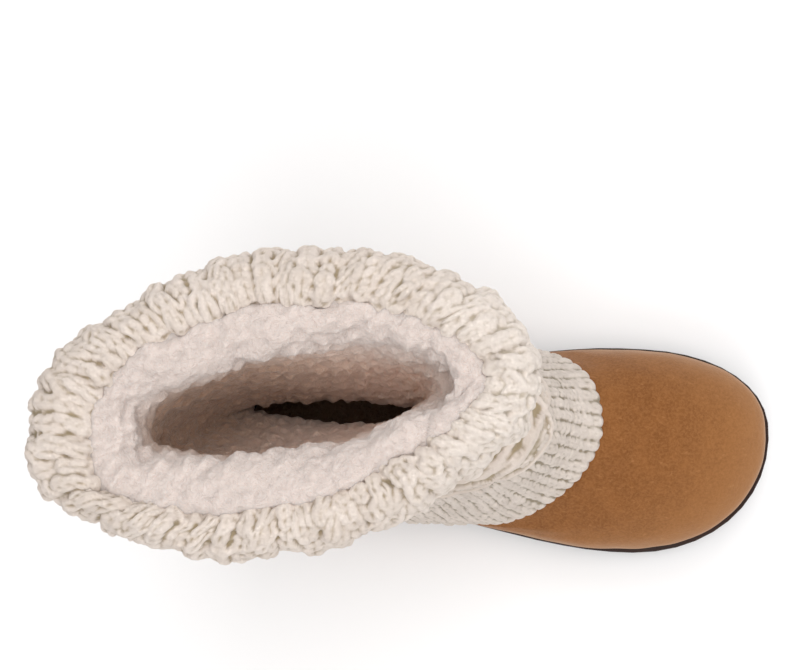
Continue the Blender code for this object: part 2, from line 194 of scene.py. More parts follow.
def moved(ring, outwards, height=None):
    """The ring moved outwards in plan, and to a new height if one is given."""
    ahead = np.roll(ring[:, :2], -1, axis=0) - np.roll(ring[:, :2], 1, axis=0)
    normals = np.column_stack([ahead[:, 1], -ahead[:, 0]])
    normals /= np.linalg.norm(normals, axis=1)[:, None]
    z = ring[:, 2] if height is None else np.broadcast_to(height, len(ring))
    return np.column_stack([ring[:, :2] + normals * np.reshape(outwards, (-1, 1)), z])


# %% A ring of the shaft
def raised_ring(row, pile_share=0.0):
    """A closed curve with its own fullness in each quarter. A share of the pile draws it in."""
    row = dict(zip(RING_COLUMNS, row, strict=True))
    pile = PILE[row["name"]] * FLEECE_PILE * pile_share
    forward, across = np.cos(BEARINGS), np.sin(BEARINGS)
    ahead, inner_side = forward > 0, across >= 0
    front_full = np.where(inner_side, row["full_front_inner"], row["full_front_outer"])
    back_full = np.where(inner_side, row["full_back_inner"], row["full_back_outer"])
    power = 2 / np.where(ahead, front_full, back_full)
    front = row["front"] * SOLE_LENGTH - pile * PILE_FRONT
    back = row["back"] * SOLE_LENGTH - pile * PILE_BACK
    half = np.where(inner_side, row["inner"], row["outer"]) * HALF_BALL - pile
    x = np.where(ahead, front, back) * np.sign(forward) * np.abs(forward) ** power
    y = half * np.sign(across) * np.abs(across) ** power
    turn = math.radians(row["turn"])
    flat_x = along(row["along"]) + x * math.cos(turn) - y * math.sin(turn)
    flat_y = row["across"] * HALF_BALL + x * math.sin(turn) + y * math.cos(turn)
    low, side, high = (row[k + "_height"] for k in ("back", "side", "front"))
    share = side + (high - side) * np.clip(forward, 0, 1) ** RISE_AHEAD
    share = share + (low - side) * np.clip(-forward, 0, 1) ** RISE_BEHIND
    rise = HEM_HEIGHT * share
    if row["name"] != "hem":
        rise = HEM_HEIGHT + (SHAFT_HEIGHT - HEM_HEIGHT) * share
    return np.column_stack([flat_x, flat_y, rise])


def spaced(rings):
    """Each ring's distance along the surface from the first, on the mean of its points."""
    steps = np.linalg.norm(np.diff(rings, axis=0), axis=2).mean(1)
    return np.concatenate([[0], np.cumsum(steps)])


# %% All rings of the boot
corner = ((1 + np.cos(BEARINGS - CORNER_BEARING)) / 2) ** 3
sole_edge = np.column_stack([outline(), np.zeros(TURNS)])
suede_edge = moved(sole_edge, -(EDGE_MARGIN + CORNER_MARGIN * corner))
suede_edge[:, 2] = sole_top(suede_edge[:, 0]) + GAP
hem_ring = raised_ring(RINGS[0])
boot_rings = [moved(suede_edge, -FEATHER_TUCK)]
for inwards, upwards in FOOT_RINGS:
    ring = suede_edge + (hem_ring - suede_edge) * inwards
    ring[:, 2] = suede_edge[:, 2] + (hem_ring[:, 2] - suede_edge[:, 2]) * upwards
    boot_rings.append(ring)
HEM = len(boot_rings)  # the hem's place among the boot's rings
INSTEP, ANKLE = HEM + 1, HEM + 2
boot_rings = np.array(boot_rings + [raised_ring(row) for row in RINGS])
boot_path = spaced(boot_rings)
hem_at, top_at = boot_path[HEM], boot_path[-1]
instep_step = boot_path[INSTEP] - hem_at
shaft_length = top_at - hem_at
print("path from sole to hem", round(hem_at, 4), "and on to the top", round(shaft_length, 4))


# %% [markdown]
# ## A skin to lay stitches on
# Yarn, pile and creases follow a curved surface. A skin is that surface as a grid of points. Its
# place method takes shares round and up the skin and a distance out of it, and gives points in
# space, so a stitch can be drawn flat and then laid on the boot as a knitter lays rows.

# %% A grid with even steps round each ring
def even(grid):
    """The grid with the points of each ring at equal steps, from the same first point."""
    spread = np.empty_like(grid)
    for k, ring in enumerate(grid):
        closed = np.vstack([ring, ring[:1]])
        length = np.concatenate([[0], np.cumsum(np.linalg.norm(np.diff(closed, axis=0), axis=1))])
        at = np.arange(len(ring)) * length[-1] / len(ring)
        spread[k] = np.column_stack([np.interp(at, length, closed[:, a]) for a in range(3)])
    return spread


class Skin:
    """A surface that closes round the boot. Rows of the grid lie round it, one above the other."""

    def __init__(self, grid):
        self.grid = grid
        ahead = np.roll(grid, -1, axis=1) - np.roll(grid, 1, axis=1)
        normals = np.cross(ahead, np.gradient(grid, axis=0))
        self.normals = normals / np.linalg.norm(normals, axis=2, keepdims=True)
        self.girth = np.linalg.norm(np.roll(grid, -1, axis=1) - grid, axis=2).sum(1).mean()
        self.height = np.linalg.norm(np.diff(grid, axis=0), axis=2).sum(0).mean()

    def place(self, around, up, out):
        """Points at shares round and up the skin, moved out by a distance."""
        rows, turns = self.grid.shape[:2]
        around, up = np.asarray(around) % 1.0 * turns, np.asarray(up) * (rows - 1)
        i, k = np.floor(around).astype(int) % turns, np.clip(np.floor(up).astype(int), 0, rows - 2)
        j = (i + 1) % turns
        a, u = (around - np.floor(around))[..., None], (up - k)[..., None]

        def read(field):
            low = field[k, i] * (1 - a) + field[k, j] * a
            return low * (1 - u) + (field[k + 1, i] * (1 - a) + field[k + 1, j] * a) * u

        return read(self.grid) + read(self.normals) * np.asarray(out)[..., None]


SHAFT_ROWS = 120
round_share = np.arange(TURNS)[None, :] / TURNS
shaft_skin = Skin(even(hermite(boot_path, boot_rings, np.linspace(hem_at, top_at, SHAFT_ROWS))))
print("shaft skin: girth", round(shaft_skin.girth, 4), "height", round(shaft_skin.height, 4))

# %% [markdown]
# Wool, fleece and suede are never quite even. A sum of waves in many directions gives smooth,
# seamless unevenness of a chosen size anywhere in space, and it is the same at each run.

# %% Unevenness
WAVE_COUNT = 22
WAVE_SCALE = 5.5  # brings the sum back to about -1 to 1


def waves(points, size, seed):
    """Smooth noise from about -1 to 1 with lumps of about the given size."""
    rng = np.random.default_rng(seed)
    found = np.zeros(np.shape(points)[:-1])
    for _ in range(WAVE_COUNT):
        direction = rng.normal(size=3)
        direction *= 2 * math.pi / size / np.linalg.norm(direction) * rng.uniform(0.45, 1.1)
        found += np.sin(points @ direction + rng.uniform(0, 2 * math.pi))
    return found / WAVE_SCALE


# %% Making and finishing a mesh
def clear_choice():
    """Nothing stays selected, so that the next operator acts on its own piece alone."""
    if bpy.context.object and bpy.context.object.mode != "OBJECT":
        bpy.ops.object.mode_set(mode="OBJECT")
    bpy.ops.object.select_all(action="DESELECT")


def choose(thing):
    """Only this object is selected and active."""
    clear_choice()
    thing.select_set(True)
    bpy.context.view_layer.objects.active = thing


def grid_faces(rows, turns, wrap_rows):
    """Quads of a grid that closes round, and also from its last row to its first if asked."""
    i, k = np.meshgrid(np.arange(turns), np.arange(rows if wrap_rows else rows - 1))
    j, n = (i + 1) % turns, (k + 1) % rows
    return np.stack([k * turns + i, k * turns + j, n * turns + j, n * turns + i], -1).reshape(-1, 4)


def make_mesh(name, grid, wrap_rows=False, **values):
    """A smooth mesh object from a grid of points, with more values at each point."""
    mesh = bpy.data.meshes.new(name)
    faces = grid_faces(*grid.shape[:2], wrap_rows)
    mesh.from_pydata(grid.reshape(-1, 3).tolist(), [], faces.tolist())
    mesh.update()
    for key, value in values.items():
        spread = np.broadcast_to(value, grid.shape[:2]).astype(np.float32).ravel()
        mesh.attributes.new(key, "FLOAT", "POINT").data.foreach_set("value", spread)
    made = bpy.data.objects.new(name, mesh)
    bpy.context.scene.collection.objects.link(made)
    choose(made)
    bpy.ops.object.shade_smooth()
    return made


def dress(piece, slot, look, *stands_for):
    """The piece gets its finish, rides on the boot and stands for its solids."""
    piece.data.materials.clear()
    piece.data.materials.append(look)
    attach(piece, "root")
    if stands_for:
        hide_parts(*stands_for)
    triangles = sum(len(face.vertices) - 2 for face in piece.data.polygons)
    print(piece.name, len(piece.data.vertices), "points", triangles, "triangles")


# %% [markdown]
# ## Camera, floor and light
# The photograph looks almost straight down from 0.85 m. The spot under the lens lies at a known
# pixel, and the focal length is known in pixels, which fixes the camera's tilt and place. The
# floor is pale and the light is broad and soft, as on a table in a studio.

# %% Camera
PICTURE = (790, 670)  # pixels
FOCAL = 1635.0  # pixels
EYE_HEIGHT = 0.850
EYE_OVER = (0.13957, -0.0170)  # the floor point under the lens
UNDER_LENS = (580.0, 480.0)  # the pixel that shows it
FOOT_TURN = math.radians(4)
SENSOR_WIDTH = 36

down = Vector((UNDER_LENS[0] - PICTURE[0] / 2, UNDER_LENS[1] - PICTURE[1] / 2, FOCAL)).normalized()
right = (Vector((1, 0, 0)) - down.x * down).normalized()
lower = down.cross(right)
turn = Matrix.Rotation(FOOT_TURN, 3, "Z")
# The picture's right, down and ahead, as directions in the boot's frame
axes = [turn @ Vector((right[k], -lower[k], -down[k])) for k in range(3)]
camera = bpy.data.objects.new("camera", bpy.data.cameras.new("camera"))
bpy.context.scene.collection.objects.link(camera)
camera.data.sensor_width = SENSOR_WIDTH
camera.data.lens = SENSOR_WIDTH * FOCAL / PICTURE[0]
camera.data.clip_start, camera.data.clip_end = 0.05, 20
rotation = Matrix((axes[0], -axes[1], -axes[2])).transposed()
camera.matrix_world = Matrix.Translation((*EYE_OVER, EYE_HEIGHT)) @ rotation.to_4x4()
bpy.context.scene.camera = camera
tilt = math.degrees(axes[2].angle(Vector((0, 0, -1))))
print("lens", round(camera.data.lens, 2), "tilt", round(tilt, 2))


# %% [markdown]
# A material is arithmetic on patterns. Wiring it node by node hides that, so a small class wraps a
# socket: two wires add or multiply with + and *, and a rule such as 1 - mask reads as it should.

# %% Wires
class Wire:
    """A node's output that can be used in sums."""

    def __init__(self, look, socket):
        self.look, self.socket = look, socket

    def __add__(self, other): return self.look.sum("ADD", self, other)
    def __radd__(self, other): return self.look.sum("ADD", other, self)
    def __sub__(self, other): return self.look.sum("SUBTRACT", self, other)
    def __rsub__(self, other): return self.look.sum("SUBTRACT", other, self)
    def __mul__(self, other): return self.look.sum("MULTIPLY", self, other)
    def __rmul__(self, other): return self.look.sum("MULTIPLY", other, self)


# %% Looks
MIX_COLOUR_IN, MIX_COLOUR_OUT = (0, 6, 7), 2  # a Mix node's sockets when it mixes colours


class Look:
    """A material with a Principled shader. Values that are the same all over go in as words."""

    def __init__(self, name, **values):
        self.material = bpy.data.materials.new(name)
        self.material.use_nodes = True
        self.tree = self.material.node_tree
        self.shader = self.tree.nodes["Principled BSDF"]
        for key, value in values.items():
            self.shader.inputs[key.replace("_", " ")].default_value = value
        self.here = self.node("ShaderNodeTexCoord", output="Object")

    def node(self, kind, settings=None, inputs=None, output=0):
        """A new node with its settings first, then the values or wires of its inputs."""
        made = self.tree.nodes.new(kind)
        for key, value in (settings or {}).items():
            setattr(made, key, value)
        for key, value in (inputs or {}).items():
            if isinstance(value, Wire):
                self.tree.links.new(value.socket, made.inputs[key])
            else:
                made.inputs[key].default_value = value
        return Wire(self, made.outputs[output])

    def sum(self, operation, a, b):
        """A Math node on two numbers or wires."""
        return self.node("ShaderNodeMath", {"operation": operation}, {0: a, 1: b})

    def noise(self, size, detail=3.0, rough=0.5, stretch=None, warp=0.0):
        """Noise with grains of about the given size in metres, from 0 to 1."""
        where = self.here
        if stretch:
            where = self.node("ShaderNodeMapping", None, {"Vector": where, "Scale": stretch})
        return self.node("ShaderNodeTexNoise", None, {
            "Vector": where, "Scale": 1 / size, "Detail": detail, "Roughness": rough,
            "Distortion": warp})

    def step(self, value, low, high):
        """0 below low, 1 above high, smooth between."""
        return self.node("ShaderNodeMapRange", {"interpolation_type": "SMOOTHSTEP"}, {
            "Value": value, "From Min": low, "From Max": high, "To Min": 0.0, "To Max": 1.0},
            "Result")

    def blend(self, factor, a, b):
        """Colour a where the factor is 0 and colour b where it is 1."""
        made = self.node("ShaderNodeMix", {"data_type": "RGBA"}, None, MIX_COLOUR_OUT)
        inputs = made.socket.node.inputs
        for place, value in zip(MIX_COLOUR_IN, (factor, a, b), strict=True):
            socket = inputs[place]
            if isinstance(value, Wire):
                self.tree.links.new(value.socket, socket)
            else:
                socket.default_value = (*value, 1) if isinstance(value, tuple) else value
        return made

    def attribute(self, name):
        """A value that the mesh carries at its points."""
        return self.node("ShaderNodeAttribute", {"attribute_name": name}, None, "Fac")

    def wire(self, **wires):
        """Links what changes over the surface to the shader."""
        for key, value in wires.items():
            self.tree.links.new(value.socket, self.shader.inputs[key.replace("_", " ")])

    def bump(self, height, distance, strength):
        """Fine relief: the wire's full swing stands for a distance in metres."""
        return self.node("ShaderNodeBump", None, {
            "Height": height, "Distance": distance, "Strength": strength}, "Normal")


# %% Floor
FLOOR_SIZE = 6
clear_choice()
bpy.ops.mesh.primitive_plane_add(size=FLOOR_SIZE)
floor = bpy.context.object
floor.name = "floor"
floor_look = Look("pale_floor", Roughness=0.9)
shade = floor_look.noise(0.9, 1.0)
floor_look.wire(Base_Color=floor_look.blend(shade, (0.896, 0.890, 0.892), (0.906, 0.900, 0.902)))
floor.data.materials.append(floor_look.material)

# %% Light
LIGHT_AIM = Vector((0.07, 0, 0.08))  # the boot's middle


def soft_light(name, place, size, watts):
    """A square studio light that points at the boot."""
    lamp = bpy.data.objects.new(name, bpy.data.lights.new(name, "AREA"))
    bpy.context.scene.collection.objects.link(lamp)
    lamp.data.shape, lamp.data.size, lamp.data.energy = "SQUARE", size, watts
    lamp.location = place
    lamp.rotation_mode = "QUATERNION"
    lamp.rotation_quaternion = (Vector(place) - LIGHT_AIM).to_track_quat("Z", "Y")


soft_light("light_over", (0.55, 0.00, 2.1), 1.8, 23)
soft_light("light_inner", (0.35, 1.5, 1.5), 1.2, 10)
soft_light("light_outer", (0.20, -1.5, 1.6), 1.2, 11)
WORLD_LIGHT = 0.62
world = bpy.data.worlds.new("studio")
world.use_nodes = True
world.node_tree.nodes["Background"].inputs["Color"].default_value = (1, 0.995, 0.99, 1)
world.node_tree.nodes["Background"].inputs["Strength"].default_value = WORLD_LIGHT
bpy.context.scene.world = world
bpy.context.scene.view_settings.view_transform = "Standard"
bpy.context.scene.view_settings.look = "None"

# %% [markdown]
# ## Outsole
# The sole is moulded rubber, so its solid already has the right form, tread grooves and all. It
# keeps its mesh and gets a dark brown finish: the mould leaves a fine even grain, and handling
# leaves faint paler patches.

# %% Rubber
rubber = Look("moulded_rubber", Roughness=0.6)
rubber.shader.inputs["Specular IOR Level"].default_value = 0.25
patch = rubber.step(rubber.noise(0.03, 4.0), 0.45, 0.75)
rubber.wire(Base_Color=rubber.blend(patch, (0.026, 0.012, 0.009), (0.040, 0.020, 0.015)))
rubber.wire(Roughness=0.5 + patch * 0.18)
rubber.wire(Normal=rubber.bump(rubber.noise(0.0007, 2.0), 0.00012, 0.7))
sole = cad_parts["outsole"]
sole.data.materials.clear()
sole.data.materials.append(rubber.material)

# %% [markdown]
# ## Suede foot
# Suede is leather with its flesh side out. Its short nap lies in patches, which read lighter or
# darker, and it has no gloss. The shell is a wall with two faces. The outer one follows the boot's
# skin and gets the shallow creases that a soft foot has under its knit.

# %% Suede shell
SUEDE_TOP = hem_at + instep_step / 3  # tucked under the knit
SUEDE_ROWS = 44
INNER_EVERY = 3  # the inner face has one row for so many of the outer face
suede_rows = np.concatenate([[0.0, 0.0006, 0.0014], np.linspace(0.0028, SUEDE_TOP, SUEDE_ROWS)])
suede_skin = hermite(boot_path, boot_rings, suede_rows)
suede_normals = Skin(suede_skin).normals
FEATHER_RUN = 0.004  # no creases so near the sole
feather = 1 - ease(suede_rows / FEATHER_RUN)
soft = 1 - feather[:, None]
crease = 0.00022 * waves(suede_skin, 0.028, 3) + 0.00012 * waves(suede_skin, 0.011, 4)
print("suede rows", len(suede_rows))

# %% Listed creases
def fold(points, start, end, width, depth):
    """A shallow valley with raised banks along a line from start to end, as a distance outwards."""
    start, end = np.array(start), np.array(end)
    run = end - start
    flat = points[..., :2] - start
    t = np.clip(flat @ run / (run @ run), 0, 1)
    bent = start + t[..., None] * run
    across = np.linalg.norm(points[..., :2] - bent, axis=-1) / width
    fade = np.sin(math.pi * np.clip(t * 0.96 + 0.02, 0, 1)) ** 0.5
    return depth * fade * (0.45 * np.exp(-((across - 1.6) ** 2)) - np.exp(-(across**2)))


# %% Suede mesh
FOLDS = (
    # start, end, width, depth
    ((0.163, -0.020), (0.169, 0.010), 0.0042, 0.00022),
    ((0.171, -0.034), (0.180, -0.006), 0.0048, 0.00016),
    ((0.158, 0.020), (0.166, 0.034), 0.0040, 0.00016),
)
for start, end, width, depth in FOLDS:
    crease = crease + fold(suede_skin, start, end, width, depth)
# The foot fills out over the sole at its outer side.
PLUMP, PLUMP_BEARING, PLUMP_SPREAD = 0.0012, math.radians(278), math.radians(30)
plump = PLUMP * ease(suede_rows / 0.006) * (1 - ease((suede_rows - 0.014) / 0.020))
plump = plump[:, None] * near_bearing(PLUMP_BEARING, PLUMP_SPREAD)
outer = suede_skin + suede_normals * (crease * soft + plump)[..., None]
outer[0, :, 2] = sole_top(outer[0, :, 0]) + GAP
inner = (suede_skin - suede_normals * SUEDE_WALL)[::-1][::INNER_EVERY]
inner[-1, :, 2] = sole_top(inner[-1, :, 0]) + GAP
shell = np.concatenate([outer, inner])
shell_rows = np.concatenate([suede_rows, suede_rows[::-1][::INNER_EVERY]])
RIM_LIGHT_START, RIM_LIGHT_REACH = 0.004, 0.038  # painted light: lighter towards the sole's edge, where the rims catch the light
rubbed = 1 - ease((shell_rows[:, None] - RIM_LIGHT_START) / RIM_LIGHT_REACH)
suede_foot = make_mesh("suede_foot", shell, True, rubbed=rubbed)

# %% Suede finish
suede = Look("tan_suede", Roughness=0.95, Sheen_Weight=0.34, Sheen_Roughness=0.45)
suede.shader.inputs["Specular IOR Level"].default_value = 0.18
suede.shader.inputs["Sheen Tint"].default_value = (1.0, 0.86, 0.72, 1)
brushed_nap_and_front_light = suede.noise(0.012, 6.0, 0.7, stretch=(1, 0.7, 1), warp=0.3)
nap = suede.noise(0.0013, 3.0, 0.7, warp=0.5)
streak = suede.step(suede.noise(0.0026, 3.0, 0.6, stretch=(0.6, 1, 1), warp=0.6), 0.60, 0.74)
tone = suede.blend(suede.step(brushed_nap_and_front_light, 0.20, 0.84), (0.156, 0.054, 0.013), (0.236, 0.091, 0.025))
tone = suede.blend(suede.step(nap, 0.34, 0.66) * 0.52, tone, (0.305, 0.130, 0.044))
tone = suede.blend(streak * 0.40, tone, (0.39, 0.185, 0.072))
# Painted light: the suede is lighter along the rims near the sole.
suede.wire(Base_Color=suede.blend(suede.attribute("rubbed") * 0.5, tone, (0.400, 0.188, 0.070)))
suede.wire(Normal=suede.bump(nap * 0.8 + suede.noise(0.0030, 2.0) * 0.5, 0.00026, 0.9))
dress(suede_foot, "suede", suede.material, "upper")

# %% [markdown]
# ## Fleece footbed
# The footbed is a flat cut of fleece on foam. It is seen only through the mouth. It starts as a
# circle whose points are moved to the sole's outline, and extruding gives it its thickness.

# %% Footbed
bed_inset = EDGE_MARGIN + CORNER_MARGIN + FEATHER_TUCK + SUEDE_WALL + GAP
BED_CORNERS = 120
bed_edge = moved(sole_edge, -bed_inset)[:: TURNS // BED_CORNERS]
print("footbed's inset", round(bed_inset, 4))
clear_choice()
bpy.ops.mesh.primitive_circle_add(vertices=BED_CORNERS, radius=0.1, fill_type="NGON")
footbed = bpy.context.object
footbed.name = "fleece_footbed"
for point, place in zip(footbed.data.vertices, bed_edge, strict=True):
    point.co = (*place[:2], 0)
bpy.ops.object.mode_set(mode="EDIT")
bpy.ops.mesh.select_all(action="SELECT")
bpy.ops.mesh.inset(thickness=0.003)
bpy.ops.mesh.inset(thickness=0.012)
bpy.ops.mesh.select_all(action="SELECT")
bpy.ops.mesh.extrude_region_move(TRANSFORM_OT_translate={"value": (0, 0, INSOLE_THICKNESS * 0.8)})
bpy.ops.mesh.select_all(action="SELECT")
bpy.ops.mesh.quads_convert_to_tris()
bpy.ops.mesh.subdivide(number_cuts=1)
bpy.ops.mesh.normals_make_consistent(inside=False)
bpy.ops.object.mode_set(mode="OBJECT")

# %% The footbed's pile, and its bend along the sole
bed = np.array([v.co for v in footbed.data.vertices])
upper_face = bed[:, 2] > INSOLE_THICKNESS * 0.7
bed[:, 2] += sole_top(bed[:, 0]) + GAP + upper_face * (0.0006 * waves(bed, 0.006, 8) - 0.0004)
for point, place in zip(footbed.data.vertices, bed, strict=True):
    point.co = place
bpy.ops.object.shade_smooth()

# %% [markdown]
# ## Fleece lining
# The lining is sherpa fleece: a sleeve with a deep curly pile, rolled out over the boot's mouth.
# From far it is a soft roll that narrows to a slit at the ankle. Nearer, it has folds, clumps of
# pile and small curls. The sleeve is lofted from the source's rings, and its points are then moved
# by these three sizes of unevenness and by a few listed lumps.

# %% The sleeve's outside, under the knit
LINING_FOOT = hem_at + instep_step * 2 / 3
OUTSIDE_ROWS, INSIDE_ROWS, VISIBLE_ROWS = 16, 110, 170
outside_rows = np.linspace(LINING_FOOT, top_at, OUTSIDE_ROWS)
outside = hermite(boot_path, boot_rings, outside_rows)
outside_inset = GAP + 0.0012 * ease((top_at - outside_rows) / 0.02)
outside = outside - Skin(outside).normals * outside_inset[:, None, None]

# %% The roll over the mouth
ROLL = (
    # share of the width, height over the top
    (-0.02, 0.0030),
    (0.07, 0.0047),
    (0.20, 0.0058),
    (0.42, 0.0060),
    (0.66, 0.0050),
    (0.87, 0.0022),
    (1.00, -0.0030),
    (1.05, -0.0100),
)
# Width of the roll all round, as shares of the pile, at steps of 30 degrees from the toe's side.
ROLL_WIDTHS = (1.04, 0.86, 0.82, 0.94, 1.02, 1.12, 1.36, 1.34, 1.22, 1.12, 0.96, 0.98)
knots = np.arange(len(ROLL_WIDTHS) * 3) * 2 * math.pi / len(ROLL_WIDTHS)
roll_width = hermite(knots, np.tile(ROLL_WIDTHS, 3), BEARINGS + 2 * math.pi)
tucked = near_bearing(CUFF_TUCK_BEARING, CUFF_TUCK_SPREAD)
swell = 0.0042 * tucked  # the roll bulges where the cuff is tucked in
roll = []
for share, rise in ROLL:
    ring = moved(raised_ring(RINGS[-1], share * roll_width), swell * (1 - share) ** 2)
    ring[:, 2] += rise
    roll.append(ring)
print("roll from", round(roll_width.min(), 2), "to", round(roll_width.max(), 2), "piles wide")

# %% The sleeve's inside, down to the slit
inside_path = spaced(np.array([raised_ring(row) for row in RINGS]))
SLIT = ("ankle", 0.246, 0.130, 0.5, 0.246, 0.206, 0.450, 0.455,
        2.0, 2.0, 1.6, 1.8, 0.30, 0.28, 0.36)
inside_rings = np.array([raised_ring(SLIT if row[0] == "ankle" else row, 1.0) for row in RINGS])
inside_rings[ANKLE - HEM] = moved(inside_rings[ANKLE - HEM], -0.0010)
inside_at = np.linspace(boot_path[-2], LINING_FOOT, INSIDE_ROWS)
inside = hermite(inside_path, inside_rings, np.interp(inside_at, boot_path[HEM:], inside_path))
visible = np.concatenate([outside[-1:], np.array(roll), inside[16::8]])
visible_path = spaced(visible)
fine = hermite(visible_path, visible, np.linspace(0, visible_path[-1], VISIBLE_ROWS))
sleeve = np.concatenate([outside[:-1], fine])
print("sleeve rows", len(sleeve), "visible run", round(visible_path[-1], 4))

# %% Folds and clumps of the pile
sleeve_skin = Skin(sleeve)
run = np.concatenate([np.zeros(len(outside) - 1), np.linspace(0, visible_path[-1], len(fine))])
shown = ease((run - 0.002) / 0.006)[:, None]  # none where the knit hides the sleeve
rim = (np.exp(-(((run - 0.022) / 0.014) ** 2)))[:, None]  # most on the roll
calm = (1 - 0.70 * ease((run - 0.036) / 0.016))[:, None]  # less inside, where the foot slides
folds = 0.0024 * waves(sleeve, 0.036, 21) + 0.0010 * rim
clumps = np.abs(waves(sleeve, 0.0170, 22)) ** 0.75
curls = waves(sleeve, 0.0050, 23) + 0.7 * np.abs(waves(sleeve, 0.0036, 24)) - 0.3
lift = shown * (calm * (folds + 0.0026 * (clumps - 0.45)) + 0.00080 * curls)

# %% Lumps, and painted light and shade
LUMPS = (
    # place, radius, height: where the fleece bunches up or sinks
    ((-0.0345, -0.0100, 0.2210), 0.0056, 0.0058),
    ((-0.0365, -0.0020, 0.2215), 0.0045, -0.0034),
    ((-0.0300, -0.0180, 0.2200), 0.0060, -0.0020),
)
for place, radius, height in LUMPS:
    apart = np.linalg.norm(sleeve - np.array(place), axis=2)
    lift = lift + height * np.exp(-((apart / radius) ** 2))
fluffy = sleeve + sleeve_skin.normals * lift[..., None]
# Painted light and shade: down from the rim, one wall turns to a lit tone and the other to a darker
# shaded one.
rubbed = ease(0.42 + 0.66 * np.cos(2 * math.pi * round_share - 2.75))
worn = ease((SHAFT_HEIGHT - 0.001 - fluffy[..., 2]) / (0.060 - 0.034 * rubbed))
lining = make_mesh("fleece_lining", fluffy, True, worn=worn, rubbed=rubbed)

# %% Fleece finish
def fleece_look(name, bright, lit_tone, dark):
    """Curly pile in soft patches. Where the mesh says so, painted light and shade take over: a lit
    tone and a darker shaded one.
    """
    look = Look(name, Roughness=1.0, Sheen_Weight=0.25, Sheen_Roughness=0.6,
                Subsurface_Weight=0.6, Subsurface_Scale=0.005)
    look.shader.inputs["Subsurface Radius"].default_value = (1.0, 0.88, 0.82)
    look.shader.inputs["Specular IOR Level"].default_value = 0.1
    look.shader.inputs["Sheen Tint"].default_value = (1.0, 0.95, 0.92, 1)
    soft_patch, curl = look.noise(0.012, 3.0), look.noise(0.0036, 3.0, 0.55, warp=1.6)
    tone = look.blend(look.step(soft_patch, 0.3, 0.7), tuple(0.95 * c for c in bright), bright)
    tone = look.blend(look.step(curl, 0.55, 0.30) * 0.35, tone, tuple(0.84 * c for c in bright))
    # Painted light and shade on the mouth's wall, mixed by side and taking over with depth.
    old = look.blend(look.attribute("rubbed"), lit_tone, dark)
    look.wire(Base_Color=look.blend(look.attribute("worn"), tone, old))
    look.wire(Normal=look.bump(curl + look.noise(0.0014, 2.0) * 0.3, 0.0018, 0.9))
    return look.material


# Painted shade: the footbed's fleece is coloured dark brown for the dim bottom of the boot.
BED_SHADE = (0.150, 0.080, 0.050)
# The cream fleece's second tone is painted light and its third is painted shade, for the mouth's
# wall.
fleece = fleece_look("cream_fleece", (0.655, 0.568, 0.526), (0.95, 0.712, 0.585),
                     (0.36, 0.230, 0.160))
worn_fleece = fleece_look("worn_fleece", (0.330, 0.185, 0.110), BED_SHADE, BED_SHADE)
dress(lining, "fleece", fleece, "lining")
dress(footbed, "fleece", worn_fleece, "insole")

# %% [markdown]
# ## Yarn
# A knit stitch shows two plump legs in a V, and each row comes out of the row below it. A purl
# stitch shows a short bar across. Soft wool lies so close that its strands press into each other,
# so the knit is made as a relief. Each strand is a line of round dabs, and at each point of a fine
# grid the highest dab wins. The lines are drawn once, in stitch widths and heights, and copied.

# %% Lines of yarn, drawn once
def line(dabs, *stations):
    """A smooth line through stations of x, y, height and half-width, as a number of dabs."""
    stations = np.array(stations)
    return hermite(np.arange(len(stations)), stations, np.linspace(0, len(stations) - 1, dabs))


LEG = line(13, (0.06, -0.64, -0.75, 0.20), (0.13, -0.30, -0.05, 0.27), (0.24, 0.10, 0.25, 0.30),
           (0.30, 0.50, 0.05, 0.28), (0.27, 0.90, -0.80, 0.18))
BAR = line(7, (0.0, -0.55, -0.50, 0.30), (0.08, 0.0, 0.15, 0.42), (0.0, 0.55, -0.50, 0.30))
LONG = line(45, (0.0, -1.0, -0.70, 0.20), (0.10, -0.55, 0.05, 0.34), (-0.10, 0.0, 0.15, 0.38),
            (0.10, 0.55, 0.05, 0.34), (0.0, 1.0, -0.70, 0.20))
SIDE = line(49, (0.04, -1.0, -0.50, 0.13), (0.36, -0.72, 0.10, 0.16), (0.47, -0.28, 0.20, 0.17),
            (0.47, 0.28, 0.20, 0.17), (0.36, 0.72, 0.10, 0.16), (0.04, 1.0, -0.50, 0.13))

# %% Copies of a line
rng = np.random.default_rng(11)


def jitter(count, size):
    """Small random amounts, a different one for each stitch."""
    return rng.normal(0, size, count).clip(-2 * size, 2 * size)


def lay(form, column, row, wide, tall, thick, turn=0.0, lift=0.0, flip=False):
    """The dabs of copies of a line at columns and rows, both in metres round and up a skin."""
    column = np.asarray(column, float)[:, None]
    row, wide, tall, thick, turn, lift = (
        np.broadcast_to(v, len(column))[:, None] for v in (row, wide, tall, thick, turn, lift))
    x, y = form[:, 0] * (-1 if flip else 1) * wide, form[:, 1] * tall
    tone = rng.uniform(0, 1, column.shape)
    dabs = (column + x * np.cos(turn) - y * np.sin(turn), row + x * np.sin(turn) + y * np.cos(turn),
            lift + form[:, 2] * thick, form[:, 3] * wide, thick, tone)
    return np.stack(np.broadcast_arrays(*dabs), -1).reshape(-1, len(dabs))


# %% Rows of knit
CABLE_ROWS = 5  # rows in one turn of a cable
LEG_LEAN = 0.06


